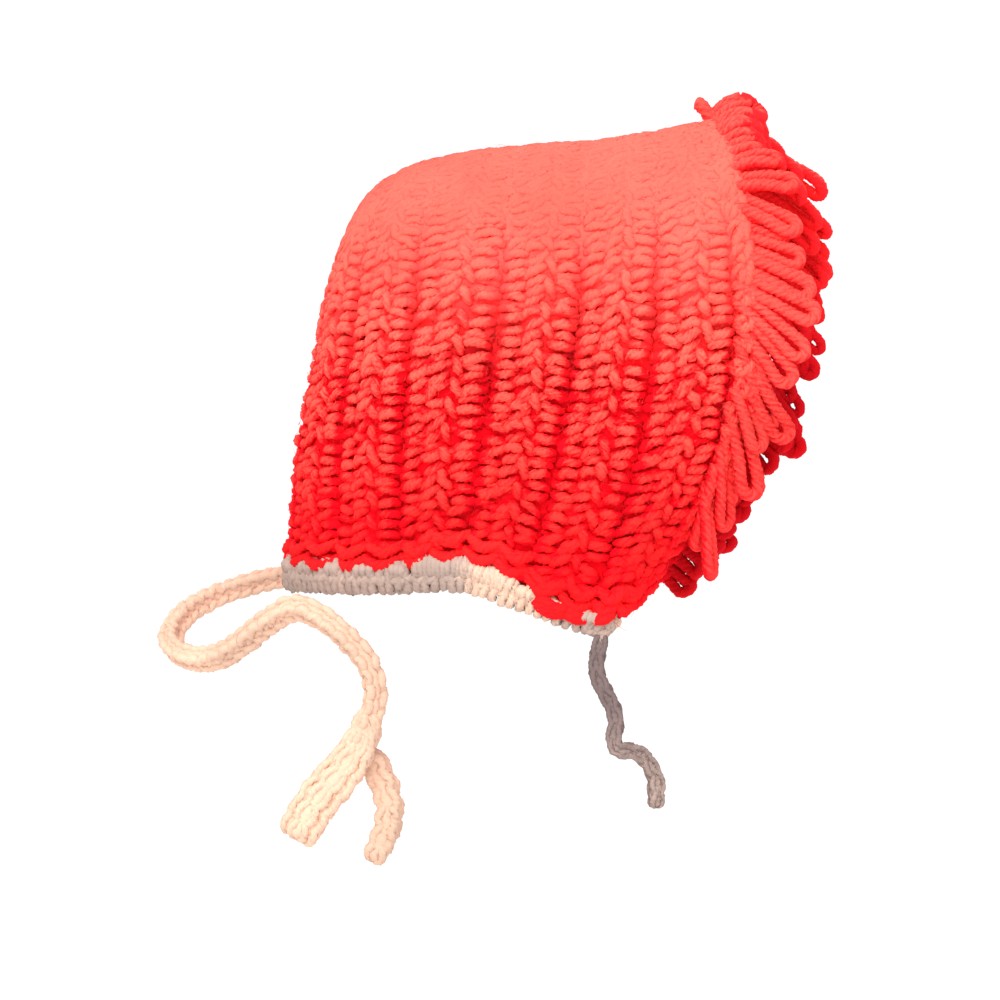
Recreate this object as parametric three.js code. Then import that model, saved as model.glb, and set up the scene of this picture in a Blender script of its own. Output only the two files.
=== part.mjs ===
// A crocheted baby bonnet in bulky yarn: a coral hood whose rows run parallel to the face opening, a loop fringe along
// the face edge, a cream band round the neck and two cream ties.
// Millimetres. +X points out of the face opening, -Y is the near side, +Z is up. The origin is where the top of the
// head touches the inside of the crown.
import * as THREE from 'three';

// Driving sizes
const WALL = 7; // thickness of the crocheted cloth
const RIB_GROOVE = 1.4; // depth of the groove between two ribs
const SEAT_GAP = 0.5; // gap between pieces that touch
const SPRING_Z = -38; // height where the straight sides start to arch over the top
const ARCH_SHARE = 0.45; // share of a row, from the ridge down, that is the arch
const LAST_ROW = 14; // rows from the back seam to the face edge
const ROW_STEPS = 2; // facets across a row
const SIDE_STEPS = 22; // facets along a row, from the ridge to the neck

const BAND_HEIGHT = 6.6; // at the back
const BAND_END_HEIGHT = 3.6; // at its two front ends
const BAND_THICKNESS = 5.4;
const BAND_CHAMFER = 1.2;
const BAND_INSET = 0.3; // the band's outer face lies this far inside the crown's
const BAND_LAST_ROW = 12; // the band ends here, and the rows past it roll in below the face edge

const FRINGE_REACH = 14; // how far the loops stand out in front of the face edge
const FRINGE_OUTSIDE = 3.4; // how far the loops' outer form stands proud of the crown
const FRINGE_INSIDE = 5.2; // and how far it reaches in behind the crown's outer face
const FRINGE_NECK_END = 0.93; // share of the row, from the ridge down, that the fringe covers
const FRINGE_STEPS = 30; // facets from the ridge to one end
const FRINGE_TAPER = 0.14; // share of the row over which each end tapers
const FRINGE_END_SIZE = 0.45; // size of the section at the very end, as a share of the full one

const NEAR_TIE_WIDTH = 4.8;
const FAR_TIE_WIDTH = 7.2;
const WIDE_TIP_WIDTH = 10.4;
const NARROW_TIP_WIDTH = 7.4;
const TIE_FLATNESS = 0.78; // a tie's thickness as a share of its width
const TIE_SIDES = 10;
const TIE_STEP_WIDTHS = 1.5; // widths of the tie between two steps along it
const TIE_LEAST_STEPS = 5;

// The row lines of the hood's outer face, seen from the side: the height of the ridge and of the neck edge, how far
// forward each row is at five places down from the ridge, and its half width above and at the neck.
const ROW_LINES = [
  { row: 0, ridgeZ: -14, ridgeX: -49, crownX: -52.5, shoulderX: -59.5, sideX: -66.5, neckX: -70, neckZ: -117.5, half: 0, neckHalf: 0 },
  { row: 1, ridgeZ: -5.5, ridgeX: -43.5, crownX: -48.5, shoulderX: -57, sideX: -64.5, neckX: -67.5, neckZ: -117.5, half: 13, neckHalf: 12 },
  { row: 3, ridgeZ: 1.5, ridgeX: -33, crownX: -36, shoulderX: -41.5, sideX: -46.5, neckX: -48.5, neckZ: -117, half: 32, neckHalf: 28 },
  { row: 5, ridgeZ: 5.8, ridgeX: -18.5, crownX: -17.5, shoulderX: -21.3, sideX: -25.6, neckX: -27, neckZ: -116.5, half: 41, neckHalf: 35 },
  { row: 7, ridgeZ: 8.3, ridgeX: 5, crownX: 6.8, shoulderX: 4.2, sideX: -1.3, neckX: -7.5, neckZ: -116, half: 43, neckHalf: 36.5 },
  { row: 9, ridgeZ: 9.2, ridgeX: 26.5, crownX: 28, shoulderX: 27, sideX: 20.5, neckX: 11, neckZ: -122, half: 44, neckHalf: 37 },
  { row: 11, ridgeZ: 11.4, ridgeX: 44, crownX: 48, shoulderX: 48.3, sideX: 42.5, neckX: 29.5, neckZ: -129, half: 44, neckHalf: 36 },
  { row: 13, ridgeZ: 13.8, ridgeX: 57, crownX: 65, shoulderX: 70, sideX: 64, neckX: 42, neckZ: -128, half: 42.5, neckHalf: 31 },
  { row: 14, ridgeZ: 14.4, ridgeX: 61.5, crownX: 70.5, shoulderX: 76, sideX: 69, neckX: 45.5, neckZ: -125, half: 41, neckHalf: 26 },
];

// Length of the fringe's loops along the face edge, as a share of their full reach, and how far they lift outwards
const FRINGE_LINES = [
  { down: 0, reach: 0.75, lift: 1.5 },
  { down: 0.12, reach: 0.9, lift: 1 },
  { down: 0.27, reach: 1.5, lift: 1 },
  { down: 0.5, reach: 1.1, lift: 2 },
  { down: 0.93, reach: 0.9, lift: 1 },
];

// The fringe's section: how far forward each corner is as a share of the reach, how far out of or into the face edge
// as a share of the outside or inside depth, and how much of the lift it takes
const FRINGE_SECTION = [
  { forward: 0, inside: 1, outside: 0, lift: 0 },
  { forward: 0.6, inside: 1, outside: 0, lift: 0.5 },
  { forward: 0.92, inside: 0.4, outside: 0, lift: 1 },
  { forward: 1, inside: 0, outside: 0, lift: 1 },
  { forward: 0.92, inside: 0, outside: 0.7, lift: 1 },
  { forward: 0.6, inside: 0, outside: 1, lift: 0.6 },
  { forward: 0, inside: 0, outside: 1, lift: 0 },
];

// Centre lines of the ties, laid by hand
const NEAR_TIE_ROUTE = [
  [33, -33, -134.3], [31.9, -34, -138.6], [31.6, -35.4, -144], [33.6, -36.2, -149], [36.4, -37.2, -153.8],
  [37.6, -38.8, -158.2], [37.2, -40.6, -162], [38.2, -41.4, -165], [41.2, -40, -165.6], [44.6, -37.4, -167],
  [47, -36, -170.6], [48.4, -34.6, -174.6], [48.6, -34.2, -178.8], [48.2, -34, -182.8],
];
const FAR_TIE_ROUTE = [
  [27.5, 33.5, -136.8], [24.5, 36.2, -138.6], [19, 39.6, -137], [10, 42, -132], [-4, 42.6, -126.8],
  [-18, 42, -124.8], [-32, 40, -124], [-45, 36, -123.6], [-56, 31, -123.4], [-66, 25.2, -123.5],
  [-75.5, 20, -124.2], [-84, 15.5, -125.8], [-91.5, 10.5, -128], [-97, 4.5, -130.4], [-101, -3, -133.2],
  [-102.6, -11.5, -137], [-100.8, -20, -140.8], [-95.8, -27.5, -143.2], [-88, -34, -144], [-79, -39, -142.4],
  [-70, -43.2, -137.4], [-61, -47, -130.8], [-51.5, -49.8, -126.4], [-43, -51.2, -129.6], [-36, -52, -135],
  [-30.8, -52, -141], [-28.4, -52, -148], [-29.2, -52, -154.6], [-31.6, -52, -161], [-34.6, -52.5, -167.2],
];
const WIDE_TIP_ROUTE = [
  [-35.2, -52.6, -168.2], [-40, -53.6, -174.4], [-45.6, -54, -181.4], [-49, -54, -187.2], [-50.8, -54, -191.4],
];
const NARROW_TIP_ROUTE = [
  [-32.4, -45.8, -167.2], [-30.2, -44.9, -171.8], [-27.6, -44.6, -177.6], [-26.2, -44.6, -183], [-26.8, -44.8, -188.4],
  [-28.8, -45, -194], [-31.2, -45, -199.2],
];

// Finishes, from the photo
const CORAL = { color: 0xf4473f, roughness: 0.92, metalness: 0 };
const CREAM = { color: 0xf3dac6, roughness: 0.94, metalness: 0 };

// Smooth curve through values at uneven knots, with the slope at each knot taken from its neighbours
function smoothAlong(knots, values, x) {
  const last = knots.length - 1;
  let i = 0;
  while (i < last - 1 && x > knots[i + 1]) i += 1;
  const slope = (k) => {
    const a = Math.max(k - 1, 0);
    const b = Math.min(k + 1, last);
    return (values[b] - values[a]) / (knots[b] - knots[a]);
  };
  const span = knots[i + 1] - knots[i];
  const t = (x - knots[i]) / span;
  const t2 = t * t;
  const t3 = t2 * t;
  return values[i] * (2 * t3 - 3 * t2 + 1) + values[i + 1] * (3 * t2 - 2 * t3)
    + span * (slope(i) * (t3 - 2 * t2 + t) + slope(i + 1) * (t3 - t2));
}

// The rows behind the seam mirror those in front of it, so the back rounds over smoothly
const MIRRORED_ROWS = ROW_LINES.slice(1, 3).reverse().map((line) => (
  { ...line, row: -line.row, half: -line.half, neckHalf: -line.neckHalf }
));
const ALL_ROWS = [...MIRRORED_ROWS, ...ROW_LINES];
const ROW_KNOTS = ALL_ROWS.map((line) => line.row);
const atRow = (name, row) => smoothAlong(ROW_KNOTS, ALL_ROWS.map((line) => line[name]), row);

// How far forward a row is, at the ridge and at each quarter of the way down, mirrored over the ridge
const DOWN_KNOTS = [-0.25, 0, 0.25, 0.5, 0.75, 1];
function forwardAt(row, down) {
  const [ridge, crown, shoulder, side, neck] = ['ridgeX', 'crownX', 'shoulderX', 'sideX', 'neckX']
    .map((name) => atRow(name, row));
  return smoothAlong(DOWN_KNOTS, [crown, ridge, crown, shoulder, side, neck], down);
}

// A point of the outer face. down is 0 at the ridge and 1 at the neck edge, negative on the far side
function hoodPoint(row, down) {
  const side = down < 0 ? 1 : -1;
  const share = Math.abs(down);
  const half = atRow('half', row);
  const x = forwardAt(row, share);
  if (share <= ARCH_SHARE) {
    const angle = (1 - share / ARCH_SHARE) * Math.PI / 2;
    const rise = atRow('ridgeZ', row) - SPRING_Z;
    return new THREE.Vector3(x, side * half * Math.cos(angle), SPRING_Z + rise * Math.sin(angle));
  }
  const q = (share - ARCH_SHARE) / (1 - ARCH_SHARE);
  const taper = q * q * (3 - 2 * q);
  const y = half + (atRow('neckHalf', row) - half) * taper;
  return new THREE.Vector3(x, side * y, SPRING_Z + (atRow('neckZ', row) - SPRING_Z) * q);
}

// Directions at a point of the outer face: forward across the rows, down along the row, and outward
function hoodFrame(row, down) {
  const small = 0.01; // of a row, and of its length
  const forward = hoodPoint(row + small, down).sub(hoodPoint(row - small, down)).normalize();
  const along = hoodPoint(row, down + small).sub(hoodPoint(row, down - small)).normalize();
  const outward = new THREE.Vector3().crossVectors(along, forward).normalize();
  return { forward, along, outward };
}

// A closed mesh from a list of points and a list of triangles
function closedMesh(points, triangles) {
  const geometry = new THREE.BufferGeometry();
  geometry.setAttribute('position', new THREE.Float32BufferAttribute(points.flatMap((p) => [p.x, p.y, p.z]), 3));
  geometry.setIndex(triangles.flat());
  geometry.computeVertexNormals();
  return geometry;
}

// A closed bar from rings of points that all have the same count, with a flat cap at each end
function ringBar(rings) {
  const count = rings[0].length;
  const triangles = [];
  for (let i = 0; i + 1 < rings.length; i += 1) {
    for (let j = 0; j < count; j += 1) {
      const a = i * count + j;
      const b = i * count + (j + 1) % count;
      triangles.push([a, b, b + count], [a, b + count, a + count]);
    }
  }
  const end = (rings.length - 1) * count;
  for (let j = 1; j + 1 < count; j += 1) {
    triangles.push([0, j + 1, j], [end, end + j, end + j + 1]);
  }
  return closedMesh(rings.flat(), triangles);
}

// The hood: an outer and an inner face joined round the neck edge and the face edge. The seam's points are shared by
// the two sides, so the back is closed
function crownGeometry() {
  const rows = LAST_ROW * ROW_STEPS;
  const points = [];
  const numbers = new Map();
  const vertex = (i, j, layer) => {
    const seamJ = i === 0 ? Math.abs(j) : j;
    const key = `${i},${seamJ},${layer}`;
    if (!numbers.has(key)) {
      const row = i / ROW_STEPS;
      const down = seamJ / SIDE_STEPS;
      const { outward } = hoodFrame(row, down);
      if (i === 0) outward.setY(0).normalize();
      const groove = RIB_GROOVE * 0.5 * (1 - Math.cos(Math.PI * row));
      const depth = layer === 0 ? (i === 0 || i === rows ? 0 : groove) : WALL;
      numbers.set(key, points.length);
      points.push(hoodPoint(row, down).addScaledVector(outward, -depth));
    }
    return numbers.get(key);
  };
  const triangles = [];
  const quad = (a, b, c, d) => triangles.push([a, c, b], [a, d, c]);
  for (let i = 0; i < rows; i += 1) {
    for (let j = -SIDE_STEPS; j < SIDE_STEPS; j += 1) {
      quad(vertex(i, j, 0), vertex(i + 1, j, 0), vertex(i + 1, j + 1, 0), vertex(i, j + 1, 0));
      quad(vertex(i, j, 1), vertex(i, j + 1, 1), vertex(i + 1, j + 1, 1), vertex(i + 1, j, 1));
    }
    quad(vertex(i, SIDE_STEPS, 0), vertex(i + 1, SIDE_STEPS, 0), vertex(i + 1, SIDE_STEPS, 1), vertex(i, SIDE_STEPS, 1));
    quad(vertex(i, -SIDE_STEPS, 1), vertex(i + 1, -SIDE_STEPS, 1), vertex(i + 1, -SIDE_STEPS, 0), vertex(i, -SIDE_STEPS, 0));
  }
  for (let j = -SIDE_STEPS; j < SIDE_STEPS; j += 1) {
    quad(vertex(rows, j, 0), vertex(rows, j, 1), vertex(rows, j + 1, 1), vertex(rows, j + 1, 0));
  }
  return closedMesh(points, triangles);
}

// A rectangle with cut corners: x runs from 0 to width, y from 0 to height
function chamferedSection(width, height, cut) {
  return [
    [0, cut], [0, height - cut], [cut, height], [width - cut, height],
    [width, height - cut], [width, cut], [width - cut, 0], [cut, 0],
  ];
}

// The neck band: a bar that follows the neck edge just below it, from the near front corner round the back
function neckBandGeometry() {
  const steps = BAND_LAST_ROW * ROW_STEPS;
  const rings = [];
  for (let i = -steps; i <= steps; i += 1) {
    const row = Math.abs(i) / ROW_STEPS;
    const side = i < 0 ? 1 : -1;
    const { along, outward } = hoodFrame(row, side);
    if (i === 0) outward.setY(0).normalize();
    if (i === 0) along.setY(0).normalize();
    const edge = hoodPoint(row, side);
    const below = along.multiplyScalar(side);
    const height = BAND_HEIGHT + (BAND_END_HEIGHT - BAND_HEIGHT) * (row / BAND_LAST_ROW) ** 2;
    const section = chamferedSection(height, BAND_THICKNESS, BAND_CHAMFER);
    rings.push(section.map(([down, inward]) => edge.clone()
      .addScaledVector(below, SEAT_GAP + down)
      .addScaledVector(outward, -BAND_INSET - inward)));
  }
  return ringBar(rings);
}

// The fringe's outer form: a tongue in front of the face edge that follows it over the top
function fringeGeometry() {
  const downs = FRINGE_LINES.map((line) => line.down);
  const reaches = FRINGE_LINES.map((line) => line.reach);
  const lifts = FRINGE_LINES.map((line) => line.lift);
  const rings = [];
  for (let i = -FRINGE_STEPS; i <= FRINGE_STEPS; i += 1) {
    const down = FRINGE_NECK_END * i / FRINGE_STEPS;
    const share = Math.abs(down);
    const taper = Math.min(1, FRINGE_END_SIZE + (1 - FRINGE_END_SIZE) * (FRINGE_NECK_END - share) / FRINGE_TAPER);
    const reach = FRINGE_REACH * smoothAlong(downs, reaches, share) * taper;
    const lift = smoothAlong(downs, lifts, share);
    const { forward, outward } = hoodFrame(LAST_ROW, down);
    const root = hoodPoint(LAST_ROW, down).addScaledVector(forward, SEAT_GAP);
    const outside = FRINGE_OUTSIDE * taper;
    rings.push(FRINGE_SECTION.map((corner) => root.clone()
      .addScaledVector(forward, corner.forward * reach)
      .addScaledVector(outward, corner.outside * outside - corner.inside * FRINGE_INSIDE + corner.lift * lift)));
  }
  return ringBar(rings);
}

// A tie: an oval section along a route, wide across the picture and thinner through it
function tieGeometry(route, width) {
  const points = route.map(([x, y, z]) => new THREE.Vector3(x, y, z));
  const path = new THREE.CatmullRomCurve3(points, false, 'centripetal');
  const section = new THREE.Shape();
  for (let i = 0; i < TIE_SIDES; i += 1) {
    const angle = 2 * Math.PI * i / TIE_SIDES;
    const x = Math.cos(angle) * width / 2;
    const y = Math.sin(angle) * width / 2 * TIE_FLATNESS;
    if (i === 0) section.moveTo(x, y);
    else section.lineTo(x, y);
  }
  section.closePath();
  const steps = Math.max(TIE_LEAST_STEPS, Math.round(path.getLength() / (TIE_STEP_WIDTHS * width)));
  return new THREE.ExtrudeGeometry(section, { steps, extrudePath: path, bevelEnabled: false });
}

const bonnet = new THREE.Group();
function addPiece(name, geometry, finish) {
  const mesh = new THREE.Mesh(geometry, new THREE.MeshStandardMaterial(finish));
  mesh.name = name;
  bonnet.add(mesh);
}

addPiece('crown', crownGeometry(), CORAL);
addPiece('fringe', fringeGeometry(), CORAL);
addPiece('neck_band', neckBandGeometry(), CREAM);
addPiece('near_tie', tieGeometry(NEAR_TIE_ROUTE, NEAR_TIE_WIDTH), CREAM);
addPiece('far_tie', tieGeometry(FAR_TIE_ROUTE, FAR_TIE_WIDTH), CREAM);
addPiece('tie_end_wide', tieGeometry(WIDE_TIP_ROUTE, WIDE_TIP_WIDTH), CREAM);
addPiece('tie_end_narrow', tieGeometry(NARROW_TIP_ROUTE, NARROW_TIP_WIDTH), CREAM);

export default bonnet;
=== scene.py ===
"""A crocheted baby bonnet: a ribbed coral hood, a looped edging, a cream neck band and two cream ties.

Lengths are in metres. +X is forward, to the face opening, +Y is the far side and +Z is up. The hood's
outer face is addressed by row and down: rows run from 0, the seam at the back, to 14, the face edge, and
down runs from 0 on the ridge to 1 at the near neck edge and -1 at the far one.
"""

import math

import bpy
import numpy as np
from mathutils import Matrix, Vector


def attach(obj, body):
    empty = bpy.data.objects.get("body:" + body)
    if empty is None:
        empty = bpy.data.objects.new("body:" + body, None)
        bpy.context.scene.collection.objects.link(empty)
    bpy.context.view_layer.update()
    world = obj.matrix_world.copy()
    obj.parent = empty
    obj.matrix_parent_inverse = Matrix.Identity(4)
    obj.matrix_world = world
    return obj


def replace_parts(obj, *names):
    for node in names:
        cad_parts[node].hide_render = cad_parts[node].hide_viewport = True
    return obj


bl_info = {
    "name": "Crocheted Baby Bonnet",
    "version": (1, 0, 0),
    "blender": (4, 5, 0),
    "location": "View3D > Sidebar > Bonnet",
    "description": "Works a ribbed, crocheted baby bonnet with a looped edging, a neck band and two ties",
    "category": "Object",
}

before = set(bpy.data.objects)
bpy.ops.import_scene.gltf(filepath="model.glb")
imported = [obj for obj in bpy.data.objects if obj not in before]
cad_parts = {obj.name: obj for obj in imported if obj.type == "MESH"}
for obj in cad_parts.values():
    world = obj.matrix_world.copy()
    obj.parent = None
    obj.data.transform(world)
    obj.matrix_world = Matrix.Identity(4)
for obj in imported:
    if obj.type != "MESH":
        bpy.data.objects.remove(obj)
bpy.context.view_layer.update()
BODY = "root"
MM = 0.001

# The hood's outer face: each row's ridge height, the forward place of its ridge, crown, shoulder, side and
# neck, then the height of the neck edge, the half width over the ears and the half width at the neck.
ROW_COLUMNS = (
    "row", "ridge_z", "ridge_x", "crown_x", "shoulder_x", "side_x", "neck_x", "neck_z", "half", "neck_half",
)
ROW_LINES = (
    (0, -0.0140, -0.0490, -0.0525, -0.0595, -0.0665, -0.0700, -0.1175, 0.0000, 0.0000),
    (1, -0.0055, -0.0435, -0.0485, -0.0570, -0.0645, -0.0675, -0.1175, 0.0130, 0.0120),
    (3, 0.0015, -0.0330, -0.0360, -0.0415, -0.0465, -0.0485, -0.1170, 0.0320, 0.0280),
    (5, 0.0058, -0.0185, -0.0175, -0.0213, -0.0256, -0.0270, -0.1165, 0.0410, 0.0350),
    (7, 0.0083, 0.0050, 0.0068, 0.0042, -0.0013, -0.0075, -0.1160, 0.0430, 0.0365),
    (9, 0.0092, 0.0265, 0.0280, 0.0270, 0.0205, 0.0110, -0.1220, 0.0440, 0.0370),
    (11, 0.0114, 0.0440, 0.0480, 0.0483, 0.0425, 0.0295, -0.1290, 0.0440, 0.0360),
    (13, 0.0138, 0.0570, 0.0650, 0.0700, 0.0640, 0.0420, -0.1280, 0.0425, 0.0310),
    (14, 0.0144, 0.0615, 0.0705, 0.0760, 0.0690, 0.0455, -0.1250, 0.0410, 0.0260),
)
LAST_ROW = 14
# The arch over the head ends at this height, at this share of the way down; below it the sides hang.
SPRING_Z = -0.038
ARCH_SHARE = 0.45
DOWN_KNOTS = (-0.25, 0.0, 0.25, 0.5, 0.75, 1.0)
# The ribs' grooves, and how the relief fades between two places down towards the ridge, where the hood is
# stretched: the share that is left of it, and how much the strands there are lifted and flattened.
RIB_GROOVE = 0.0017
RIDGE_RELIEF = 0.10
SMOOTH_FROM = 0.26
SMOOTH_TO = 0.54
RIDGE_LIFT = 0.0012
RIDGE_SQUASH = 0.30
SMALL_STEP = 0.01
# The height of the stitches' tops, and the depth where the colour is wholly the folds' painted shade.
CREST_HEIGHT = -0.0015
DEEPEST = 0.0042
# The furrow between two plies, and how far it and a rib's grooves shift the colour to the folds' painted
# shade.
PLY_DEPTH = 0.12
FURROW_SHADE = 0.12
GROOVE_FROM = 0.66
GROOVE_SHADE = 0.64

# The ties' routes, point by point from where each leaves the band.
NEAR_TIE_ROUTE = (
    (0.0330, -0.0330, -0.1343), (0.0319, -0.0340, -0.1386), (0.0316, -0.0354, -0.1440),
    (0.0336, -0.0362, -0.1490), (0.0364, -0.0372, -0.1538), (0.0376, -0.0388, -0.1582),
    (0.0372, -0.0406, -0.1620), (0.0382, -0.0414, -0.1650), (0.0412, -0.0400, -0.1656),
    (0.0446, -0.0374, -0.1670), (0.0470, -0.0360, -0.1706), (0.0484, -0.0346, -0.1746),
    (0.0486, -0.0342, -0.1788), (0.0482, -0.0340, -0.1828),
)
FAR_TIE_ROUTE = (
    (0.0275, 0.0335, -0.1368), (0.0245, 0.0362, -0.1386), (0.0190, 0.0396, -0.1370),
    (0.0100, 0.0420, -0.1320), (-0.0040, 0.0426, -0.1268), (-0.0180, 0.0420, -0.1248),
    (-0.0320, 0.0400, -0.1240), (-0.0450, 0.0360, -0.1236), (-0.0560, 0.0310, -0.1234),
    (-0.0660, 0.0252, -0.1235), (-0.0755, 0.0200, -0.1242), (-0.0840, 0.0155, -0.1258),
    (-0.0915, 0.0105, -0.1280), (-0.0970, 0.0045, -0.1304), (-0.1010, -0.0030, -0.1332),
    (-0.1026, -0.0115, -0.1370), (-0.1008, -0.0200, -0.1408), (-0.0958, -0.0275, -0.1432),
    (-0.0880, -0.0340, -0.1440), (-0.0790, -0.0390, -0.1424), (-0.0700, -0.0432, -0.1374),
    (-0.0610, -0.0470, -0.1308), (-0.0515, -0.0498, -0.1264), (-0.0430, -0.0512, -0.1296),
    (-0.0360, -0.0520, -0.1350), (-0.0308, -0.0520, -0.1410), (-0.0284, -0.0520, -0.1480),
    (-0.0292, -0.0520, -0.1546), (-0.0316, -0.0520, -0.1610), (-0.0346, -0.0525, -0.1672),
)
WIDE_TIP_ROUTE = (
    (-0.0352, -0.0526, -0.1682), (-0.0400, -0.0536, -0.1744), (-0.0456, -0.0540, -0.1814),
    (-0.0490, -0.0540, -0.1872), (-0.0508, -0.0540, -0.1914),
)
NARROW_TIP_ROUTE = (
    (-0.0324, -0.0458, -0.1672), (-0.0302, -0.0449, -0.1718), (-0.0276, -0.0446, -0.1776),
    (-0.0262, -0.0446, -0.1830), (-0.0268, -0.0448, -0.1884), (-0.0288, -0.0450, -0.1940),
    (-0.0312, -0.0450, -0.1992),
)
NEAR_TIE_WIDTH = 0.0048
FAR_TIE_WIDTH = 0.0072
WIDE_TIP_WIDTH = 0.0104
NARROW_TIP_WIDTH = 0.0074
TIE_FLATNESS = 0.78

# The strands of one stitch. Each point says the share of the way across the rib, from its back groove to its
# front one, the place along the course in stitches, the height over the hood's face in millimetres and the
# thickness.
RIB_STITCH = {
    "hook": ((0.00, 0.04, -3.4, 0.8), (0.05, 0.18, -1.9, 1.0), (0.13, 0.29, -1.3, 1.1),
             (0.22, 0.36, -1.7, 1.0), (0.30, 0.40, -2.9, 0.8)),
    "lens": ((0.02, -0.40, -3.2, 0.8), (0.09, -0.29, -1.7, 1.1), (0.17, -0.21, -1.2, 1.2),
             (0.26, -0.15, -1.7, 1.05), (0.33, -0.09, -2.9, 0.8)),
    "rise": ((0.28, -0.26, -3.0, 0.8), (0.34, -0.10, -1.8, 1.05), (0.41, 0.04, -1.4, 1.1),
             (0.48, 0.13, -1.8, 1.05), (0.54, 0.20, -2.9, 0.8)),
    "chain": ((0.30, 0.28, -3.0, 0.8), (0.37, 0.40, -1.9, 1.05), (0.44, 0.53, -1.5, 1.1),
              (0.50, 0.65, -1.9, 1.0), (0.55, 0.76, -3.0, 0.8)),
    "knob": ((0.53, 0.62, -3.0, 0.8), (0.57, 0.42, -1.6, 1.15), (0.60, 0.20, -1.5, 1.15),
             (0.63, -0.04, -2.0, 1.0), (0.65, -0.24, -3.0, 0.8)),
    "fill": ((0.02, 0.02, -3.2, 0.9), (0.20, 0.06, -2.5, 1.0), (0.45, 0.26, -2.5, 1.0),
             (0.75, 0.36, -2.5, 1.0), (0.98, 0.38, -3.2, 0.9)),
    "bar": ((0.65, 0.00, -3.2, 0.8), (0.73, 0.10, -1.7, 1.05), (0.82, 0.14, -1.2, 1.15),
            (0.90, 0.10, -1.7, 1.05), (0.97, -0.02, -3.3, 0.8)),
    "under_bar": ((0.66, -0.42, -3.2, 0.8), (0.73, -0.38, -1.8, 1.05), (0.82, -0.36, -1.5, 1.1),
                  (0.90, -0.38, -1.9, 1.0), (0.97, -0.44, -3.3, 0.8)),
}
EDGE_STITCH = {
    "hook": ((0.00, -0.40, -4.0, 0.8), (0.10, 0.00, -2.0, 0.95), (0.30, 0.24, -1.4, 1.0),
             (0.56, 0.36, -1.6, 0.9), (0.76, 0.34, -3.6, 0.6)),
    "lens": ((0.16, -0.50, -3.8, 0.5), (0.36, -0.30, -1.7, 1.0), (0.58, -0.12, -1.3, 1.2),
             (0.78, 0.04, -2.0, 0.9), (0.92, 0.16, -3.6, 0.5)),
    "root": ((0.66, -0.46, -3.9, 0.8), (0.78, -0.12, -1.5, 1.05), (0.90, 0.26, -1.2, 1.1),
             (1.04, 0.60, -2.8, 0.8)),
}
LINING_STITCH = {
    "bar": ((0.05, 0.00, -4.4, 0.8), (0.35, 0.08, -5.7, 1.0), (0.65, 0.08, -5.7, 1.0),
            (0.95, 0.00, -4.4, 0.8)),
    "post": ((0.10, 0.40, -4.6, 0.8), (0.35, 0.58, -5.5, 1.0), (0.60, 0.42, -5.5, 1.0),
             (0.85, 0.62, -4.6, 0.8)),
}
RIBS = ((-1, 1), (1, 3), (3, 5), (5, 7), (7, 9), (9, 11), (11, 13))

# The looped edging, from the far end to the near one: the place down the face edge, the loop's length in
# millimetres, the angle that it stands out from the hood, the angle that it droops and how far it curls.
LOOP_LINES = (
    (-1, 9.5, 58, 40, 0.1), (-0.93, 12.5, 50, 45, 0.1), (-0.86, 16.5, 36, 48, 0.1),
    (-0.75, 22, 8, 50, 0.1), (-0.65, 23, 8, 54, 0.1), (-0.44, 22, 10, 54, 0.15),
    (-0.37, 25, 10, 54, 0.15), (-0.3, 27, 10, 48, 0.15), (-0.25, 29, 8, 38, 0.2),
    (-0.2, 28, 6, 30, 0.3), (-0.15, 25, 8, 30, 0.4), (-0.09, 19, 30, 18, 0.8),
    (0, 15.6, 80, 0, 1.2), (0.12, 14.8, 74, 0, 1.2), (0.22, 15.5, 56, 4, 1.05),
    (0.27, 16, 34, 14, 0.6), (0.295, 19.5, 20, 34, 0.15), (0.33, 13, 22, 22, 0.15),
    (0.37, 15, 16, 28, 0.15), (0.43, 16, 14, 30, 0.15), (0.5, 19, 14, 48, 0.15),
    (0.56, 21.5, 12, 58, 0.15), (0.61, 21.5, 14, 68, 0.1), (0.69, 21.5, 18, 72, 0.1),
    (0.76, 22, 24, 82, 0.05), (0.81, 24, 30, 94, 0),
)
LAST_LOOP_DOWN = (-0.85, 0.81)
FAR_CORNER_LOOPS = (
    -0.98, -0.96, -0.94, -0.92, -0.90, -0.88, -0.865, -0.80, -0.76, -0.72, -0.68, -0.64, -0.60,
)

class YarnSettings(bpy.types.PropertyGroup):
    """The yarn's colours and how it is worked."""

    coral: bpy.props.FloatVectorProperty(
        name="Coral", description="Colour of the hood's yarn",
        subtype="COLOR", size=3, min=0.0, max=1.0, default=(0.95, 0.104, 0.075),
    )
    cream: bpy.props.FloatVectorProperty(
        name="Cream", description="Colour of the band's and the ties' yarn",
        subtype="COLOR", size=3, min=0.0, max=1.0, default=(0.62, 0.410, 0.300),
    )
    stitch: bpy.props.FloatProperty(
        name="Stitch", description="Length of one stitch along its course",
        unit="LENGTH", default=0.0065, min=0.003, max=0.02,
    )
    strand: bpy.props.FloatProperty(
        name="Strand", description="Radius of the yarn where it lies in a stitch",
        unit="LENGTH", default=0.00142, min=0.0005, max=0.004,
    )
    loop_strand: bpy.props.FloatProperty(
        name="Loop strand", description="Radius of the yarn in the free loops",
        unit="LENGTH", default=0.0018, min=0.0005, max=0.004,
    )
    uneven: bpy.props.FloatProperty(
        name="Unevenness", description="How much the stitches differ, as by hand",
        subtype="FACTOR", default=1.25, min=0.0, max=2.0,
    )
    fibres: bpy.props.IntProperty(
        name="Stray fibres", description="Number of fine fibres that stand off the yarn",
        default=9000, min=0, max=12000,
    )


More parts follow.
